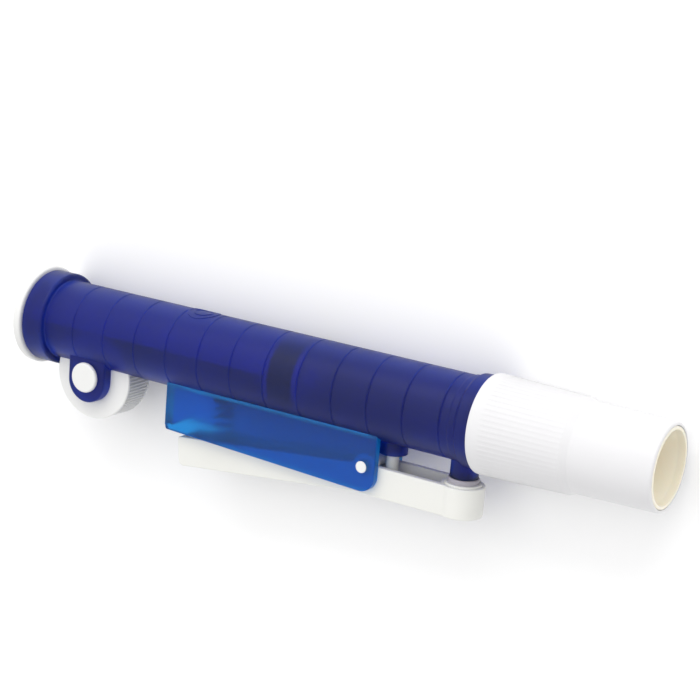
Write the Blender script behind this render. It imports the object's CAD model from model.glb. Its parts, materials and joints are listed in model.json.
import json
import math

import bmesh
import bpy
from mathutils import Matrix, Vector


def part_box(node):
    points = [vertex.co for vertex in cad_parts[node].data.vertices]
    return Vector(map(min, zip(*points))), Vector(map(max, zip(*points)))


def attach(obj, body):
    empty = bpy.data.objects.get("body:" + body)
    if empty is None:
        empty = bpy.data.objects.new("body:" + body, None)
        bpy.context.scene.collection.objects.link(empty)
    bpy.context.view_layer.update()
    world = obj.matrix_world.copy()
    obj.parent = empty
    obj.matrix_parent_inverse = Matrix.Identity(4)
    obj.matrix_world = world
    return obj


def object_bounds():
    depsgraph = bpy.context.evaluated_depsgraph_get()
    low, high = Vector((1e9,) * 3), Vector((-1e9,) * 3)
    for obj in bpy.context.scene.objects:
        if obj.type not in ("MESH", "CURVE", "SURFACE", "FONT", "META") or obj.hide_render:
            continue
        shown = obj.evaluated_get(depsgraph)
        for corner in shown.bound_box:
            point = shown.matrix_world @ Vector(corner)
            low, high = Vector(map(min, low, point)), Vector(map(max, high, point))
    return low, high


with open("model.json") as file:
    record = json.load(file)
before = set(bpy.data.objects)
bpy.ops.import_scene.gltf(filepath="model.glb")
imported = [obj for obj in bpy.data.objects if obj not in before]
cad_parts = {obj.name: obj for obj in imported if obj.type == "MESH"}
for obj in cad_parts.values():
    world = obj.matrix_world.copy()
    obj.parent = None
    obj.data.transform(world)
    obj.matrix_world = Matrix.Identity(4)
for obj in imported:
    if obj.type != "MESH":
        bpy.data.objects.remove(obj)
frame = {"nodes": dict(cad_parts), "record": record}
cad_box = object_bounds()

# ------------------------------------------------------------------ sizes, metres
MM = 0.001
EDGE_SOFTENING = 0.22 * MM
THREAD_TURNS = 3
THREAD_PITCH = 2.0 * MM
THREAD_RISE = 0.2 * MM
THREAD_ROOT = 0.05 * MM
THREAD_HALF_WIDTH = 0.45 * MM
THREAD_FRONT_GAP = 1.0 * MM
THREAD_STEPS = 60
THREAD_RUN_OUT = 8
SPIGOT_R = 9.2 * MM
FLOOR_SIZE = 9.0

# the pump lies on its side; the camera looks down at it with the lever at the picture's foot,
# its azimuth and elevation counted from +Z, towards +X and towards +Y
CAMERA_AZIMUTH = math.radians(30.65)
CAMERA_ELEVATION = math.radians(14.64)
CAMERA_ROLL = math.radians(4.84)
CAMERA_DISTANCE = 0.4946
CAMERA_TARGET = Vector((-0.0860, 0.00966, 0.0))
CAMERA_LENS = 103.87
CAMERA_SENSOR = 36.0

WORLD_STRENGTH = 0.86
TOP_LIGHT_STRENGTH = 0.58
TOP_LIGHT_SPREAD = math.radians(70)
TOP_LIGHT_TILT = (math.radians(-38), math.radians(-6), 0)

# each softbox's name, place, width, depth and watts
SOFTBOXES = (
    ("far_side", (-0.10, 0.95, 0.55), 1.2, 0.5, 4.2),
    ("overhead", (-0.45, 0.0, 0.95), 1.0, 0.5, 0.6),
)

# how fine each pattern in a moulded surface is
FLOW_FINENESS = 38.0
SWELL_FINENESS = 150.0
WEAR_FINENESS = 420.0
SCUFF_FINENESS = 520.0
GRAIN_FINENESS = 3200.0
WIRE_FINENESS = 2400.0
GRAIN_HEIGHT = 0.03 * MM
SWELL_HEIGHT = 0.08 * MM


# ------------------------------------------------------------------ materials
class Graph:
    """A material's node tree, built one node at a time."""

    def __init__(self, name):
        self.material = bpy.data.materials.new(name)
        self.material.use_nodes = True
        self.tree = self.material.node_tree
        self.tree.nodes.clear()
        self.place = self.add("ShaderNodeTexCoord").outputs["Object"]

    def add(self, kind, inputs=None, **settings):
        """A node with its inputs set to constants or joined to other nodes' outputs."""
        node = self.tree.nodes.new(kind)
        for key, value in settings.items():
            setattr(node, key, value)
        for key, value in (inputs or {}).items():
            if isinstance(value, bpy.types.NodeSocket):
                self.tree.links.new(value, node.inputs[key])
            else:
                node.inputs[key].default_value = value
        return node

    def noise(self, scale, detail=3.0, distortion=0.0, stretch=(1.0, 1.0, 1.0)):
        """Noise in object space, with its frequency stretched along each axis."""
        mapped = self.add("ShaderNodeMapping", {"Vector": self.place, "Scale": stretch})
        node = self.add("ShaderNodeTexNoise", {
            "Vector": mapped.outputs["Vector"], "Scale": scale,
            "Detail": detail, "Distortion": distortion})
        return node.outputs["Fac"]

    def span(self, value, source, target):
        """value carried from one range to another and kept inside it."""
        node = self.add("ShaderNodeMapRange", {
            "Value": value, "From Min": source[0], "From Max": source[1],
            "To Min": target[0], "To Max": target[1]})
        return node.outputs["Result"]

    def blend(self, amount, first, second):
        """A colour between two others."""
        node = self.add("ShaderNodeMix", data_type="RGBA")
        for socket, value in zip((node.inputs[0], node.inputs[6], node.inputs[7]),
                                 (amount, first, second)):
            if isinstance(value, bpy.types.NodeSocket):
                self.tree.links.new(value, socket)
            else:
                socket.default_value = value
        return node.outputs[2]

    def soft_edge(self, radius):
        """The rounded normal, and a mask that is 1 on the part's edges."""
        rounded = self.add("ShaderNodeBevel", {"Radius": radius}, samples=6).outputs["Normal"]
        flat = self.add("ShaderNodeNewGeometry").outputs["Normal"]
        dot = self.add("ShaderNodeVectorMath", {0: rounded, 1: flat}, operation="DOT_PRODUCT")
        return rounded, self.span(dot.outputs["Value"], (0.998, 0.88), (0.0, 1.0))

    def finish(self, shader):
        output = self.add("ShaderNodeOutputMaterial")
        self.tree.links.new(shader, output.inputs["Surface"])
        return self.material


def rgba(red, green, blue):
    return (red, green, blue, 1.0)


def moulding(name, colour, flow_colour, worn_colour, roughness, grain=0.05, scuffs=0.05,
             clear=False, **constants):
    """Moulded plastic or rubber: flow shading, a satin grain, fine scuffs and worn edges.

    A clear plastic keeps its own normals, because light bends through them, and its swell
    and scuffs are gentler, because they would show through it as streaks."""
    g = Graph(name)
    rounded, edge = g.soft_edge(EDGE_SOFTENING)
    if clear:
        rounded = g.add("ShaderNodeNewGeometry").outputs["Normal"]
    flow = g.span(g.noise(FLOW_FINENESS, 4.0, 1.2, (0.45, 1.0, 1.0)), (0.3, 0.72), (0.0, 1.0))
    body = g.blend(flow, colour, flow_colour)
    patches = g.span(g.noise(WEAR_FINENESS), (0.42, 0.66), (0.0, 0.75))
    wear = g.add("ShaderNodeMath", {0: edge, 1: patches}, operation="MULTIPLY").outputs["Value"]
    painted = g.blend(wear, body, worn_colour)
    stretch = (1.0, 1.0, 1.0) if clear else (0.12, 1.0, 1.0)
    scuff = g.noise(SCUFF_FINENESS, 5.0, 0.4, stretch)
    rough = g.span(scuff, (0.3, 0.75), (roughness - scuffs, roughness + scuffs))
    fine = g.add("ShaderNodeBump", {
        "Strength": grain, "Distance": GRAIN_HEIGHT, "Normal": rounded,
        "Height": g.noise(GRAIN_FINENESS, 2.0)}).outputs["Normal"]
    broad = g.add("ShaderNodeBump", {
        "Strength": 0.03 if clear else 0.12, "Distance": SWELL_HEIGHT, "Normal": fine,
        "Height": g.noise(SWELL_FINENESS, 2.0, 0.3)}).outputs["Normal"]
    inputs = {"Base Color": painted, "Roughness": rough, "Normal": broad}
    inputs.update(constants)
    shader = g.add("ShaderNodeBsdfPrincipled", inputs)
    return g.finish(shader.outputs["BSDF"])


def drawn_steel(name):
    """Spring wire with fine drawing lines."""
    g = Graph(name)
    lines = g.noise(WIRE_FINENESS, 3.0, 0.0, (1.0, 1.0, 0.15))
    tone = g.blend(lines, rgba(0.34, 0.34, 0.35), rgba(0.62, 0.62, 0.63))
    shader = g.add("ShaderNodeBsdfPrincipled", {
        "Base Color": tone, "Metallic": 1.0, "Roughness": g.span(lines, (0.3, 0.7), (0.22, 0.4))})
    return g.finish(shader.outputs["BSDF"])


CLEAR_SKIN = {"Transmission Weight": 0.95, "IOR": 1.35, "Specular IOR Level": 0.05}
WHITE_SKIN = {"Subsurface Weight": 0.12, "Subsurface Scale": 1.2 * MM,
              "Subsurface Radius": (1.0, 1.0, 1.0), "Specular IOR Level": 0.4}

MATERIALS = {
    "blue_moulding": moulding(
        "navy polypropylene", rgba(0.015, 0.06, 0.50), rgba(0.019, 0.068, 0.55),
        rgba(0.04, 0.08, 0.62), 0.43, 0.04, 0.03, clear=True, **CLEAR_SKIN),
    "azure_plastic": moulding(
        "azure polypropylene", rgba(0.006, 0.30, 0.82), rgba(0.009, 0.33, 0.86),
        rgba(0.04, 0.32, 0.92), 0.3, 0.02, 0.02, clear=True, **CLEAR_SKIN),
    "white_plastic": moulding(
        "white plastic", rgba(0.79, 0.79, 0.78), rgba(0.755, 0.755, 0.742),
        rgba(0.88, 0.88, 0.87), 0.4, 0.06, 0.05, **WHITE_SKIN),
    "warm_white_plastic": moulding(
        "warm white plastic", rgba(0.775, 0.775, 0.74), rgba(0.74, 0.738, 0.70),
        rgba(0.87, 0.87, 0.83), 0.42, 0.06, 0.05, **WHITE_SKIN),
    "nose_plastic": moulding(
        "cool white plastic", rgba(0.735, 0.73, 0.742), rgba(0.71, 0.705, 0.716),
        rgba(0.85, 0.85, 0.86), 0.44, 0.05, 0.04, **WHITE_SKIN),
    "cream_silicone": moulding(
        "cream silicone", rgba(0.93, 0.87, 0.74), rgba(0.90, 0.83, 0.68),
        rgba(0.92, 0.86, 0.74), 0.55, 0.08, 0.06,
        **{"Subsurface Weight": 0.25, "Subsurface Scale": 2.0 * MM,
           "Subsurface Radius": (1.0, 0.7, 0.45), "Specular IOR Level": 0.35}),
    "black_rubber": moulding(
        "black rubber", rgba(0.014, 0.014, 0.015), rgba(0.022, 0.022, 0.023),
        rgba(0.05, 0.05, 0.052), 0.62, 0.12, 0.08, **{"Specular IOR Level": 0.3}),
    "grey_rubber": moulding(
        "grey rubber", rgba(0.40, 0.38, 0.42), rgba(0.34, 0.32, 0.36),
        rgba(0.5, 0.48, 0.52), 0.6, 0.12, 0.08, **{"Specular IOR Level": 0.3}),
    "spring_steel": drawn_steel("drawn spring steel"),
}


def dress(obj, slot):
    """Gives every face of a piece the material of a record slot."""
    if not obj.material_slots:
        obj.data.materials.append(None)
    for holder in obj.material_slots:
        holder.link = "OBJECT"
        holder.material = MATERIALS[slot]


for subpart in frame["record"]["subparts"]:
    dress(frame["nodes"][subpart["node"]], subpart["material_slot"])


# ------------------------------------------------------------------ spigot thread
def thread_ring(bm, x, angle, rise):
    """One triangular section of the thread's ridge."""
    ring = []
    profile = ((-THREAD_HALF_WIDTH, -THREAD_ROOT), (0.0, rise), (THREAD_HALF_WIDTH, -THREAD_ROOT))
    for offset, lift in profile:
        radius = SPIGOT_R + lift
        point = (x + offset, radius * math.cos(angle), radius * math.sin(angle))
        ring.append(bm.verts.new(point))
    return ring


def make_thread():
    """Helical ridge on the barrel's spigot, which runs out to nothing at both ends."""
    barrel_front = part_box("barrel")[1][0]
    start = barrel_front - THREAD_FRONT_GAP - THREAD_TURNS * THREAD_PITCH
    steps = THREAD_TURNS * THREAD_STEPS
    bm = bmesh.new()
    rings = []
    for step in range(steps + 1):
        share = step / steps
        fade = min(1.0, THREAD_RUN_OUT * share, THREAD_RUN_OUT * (1 - share))
        angle = 2 * math.pi * THREAD_TURNS * share
        x = start + THREAD_PITCH * THREAD_TURNS * share
        rings.append(thread_ring(bm, x, angle, THREAD_RISE * fade))
    for near, far in zip(rings, rings[1:]):
        for i in range(3):
            j = (i + 1) % 3
            bm.faces.new((near[i], near[j], far[j], far[i]))
    bm.faces.new(reversed(rings[0]))
    bm.faces.new(rings[-1])
    bmesh.ops.recalc_face_normals(bm, faces=bm.faces)
    mesh = bpy.data.meshes.new("spigot_thread")
    bm.to_mesh(mesh)
    bm.free()
    thread = bpy.data.objects.new("spigot_thread", mesh)
    bpy.context.scene.collection.objects.link(thread)
    return thread


thread = make_thread()
dress(thread, "blue_moulding")
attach(thread, "barrel")


# ------------------------------------------------------------------ floor, light and camera
def make_floor():
    """Plain pale sheet under the lowest point of the object."""
    half = FLOOR_SIZE / 2
    level = cad_box[0][2]
    corners = [(-half, -half, level), (half, -half, level), (half, half, level), (-half, half, level)]
    mesh = bpy.data.meshes.new("studio_floor")
    mesh.from_pydata(corners, [], [(0, 1, 2, 3)])
    floor = bpy.data.objects.new("studio_floor", mesh)
    bpy.context.scene.collection.objects.link(floor)
    g = Graph("pale studio sheet")
    tone = g.blend(g.noise(3.0, 2.0), rgba(0.97, 0.97, 0.97), rgba(0.985, 0.985, 0.985))
    shader = g.add("ShaderNodeBsdfPrincipled", {
        "Base Color": tone, "Roughness": 0.9, "Specular IOR Level": 0.1})
    mesh.materials.append(g.finish(shader.outputs["BSDF"]))


def softbox(name, place, width, depth, watts):
    """Large rectangular light that faces the object."""
    data = bpy.data.lights.new(name, "AREA")
    data.shape = "RECTANGLE"
    data.size = width
    data.size_y = depth
    data.energy = watts
    lamp = bpy.data.objects.new(name, data)
    lamp.location = place
    towards = CAMERA_TARGET - Vector(place)
    lamp.rotation_euler = towards.to_track_quat("-Z", "Y").to_euler()
    bpy.context.scene.collection.objects.link(lamp)


def make_top_light():
    """Very wide light from the side away from the lever, equally bright all over the floor."""
    data = bpy.data.lights.new("top_light", "SUN")
    data.energy = TOP_LIGHT_STRENGTH
    data.angle = TOP_LIGHT_SPREAD
    lamp = bpy.data.objects.new("top_light", data)
    lamp.rotation_euler = TOP_LIGHT_TILT
    bpy.context.scene.collection.objects.link(lamp)


def make_world():
    """Even white light from all round."""
    world = bpy.data.worlds.new("soft studio")
    world.use_nodes = True
    background = world.node_tree.nodes["Background"]
    background.inputs["Color"].default_value = rgba(1.0, 1.0, 1.0)
    background.inputs["Strength"].default_value = WORLD_STRENGTH
    bpy.context.scene.world = world


def make_camera():
    """Camera at the set azimuth, elevation and roll about its target."""
    sin_a, cos_a = math.sin(CAMERA_AZIMUTH), math.cos(CAMERA_AZIMUTH)
    sin_e, cos_e = math.sin(CAMERA_ELEVATION), math.cos(CAMERA_ELEVATION)
    back = Vector((sin_a * cos_e, sin_e, cos_a * cos_e))
    level = Vector((cos_a, 0.0, -sin_a))
    upright = back.cross(level)
    right = level * math.cos(CAMERA_ROLL) + upright * math.sin(CAMERA_ROLL)
    up = back.cross(right)
    data = bpy.data.cameras.new("camera")
    data.lens = CAMERA_LENS
    data.sensor_width = CAMERA_SENSOR
    camera = bpy.data.objects.new("camera", data)
    turn = Matrix((right, up, back)).transposed().to_4x4()
    camera.matrix_world = Matrix.Translation(CAMERA_TARGET + back * CAMERA_DISTANCE) @ turn
    bpy.context.scene.collection.objects.link(camera)
    bpy.context.scene.camera = camera


make_floor()
make_world()
make_top_light()
for box in SOFTBOXES:
    softbox(*box)
bpy.context.scene.view_settings.view_transform = "Standard"
make_camera()
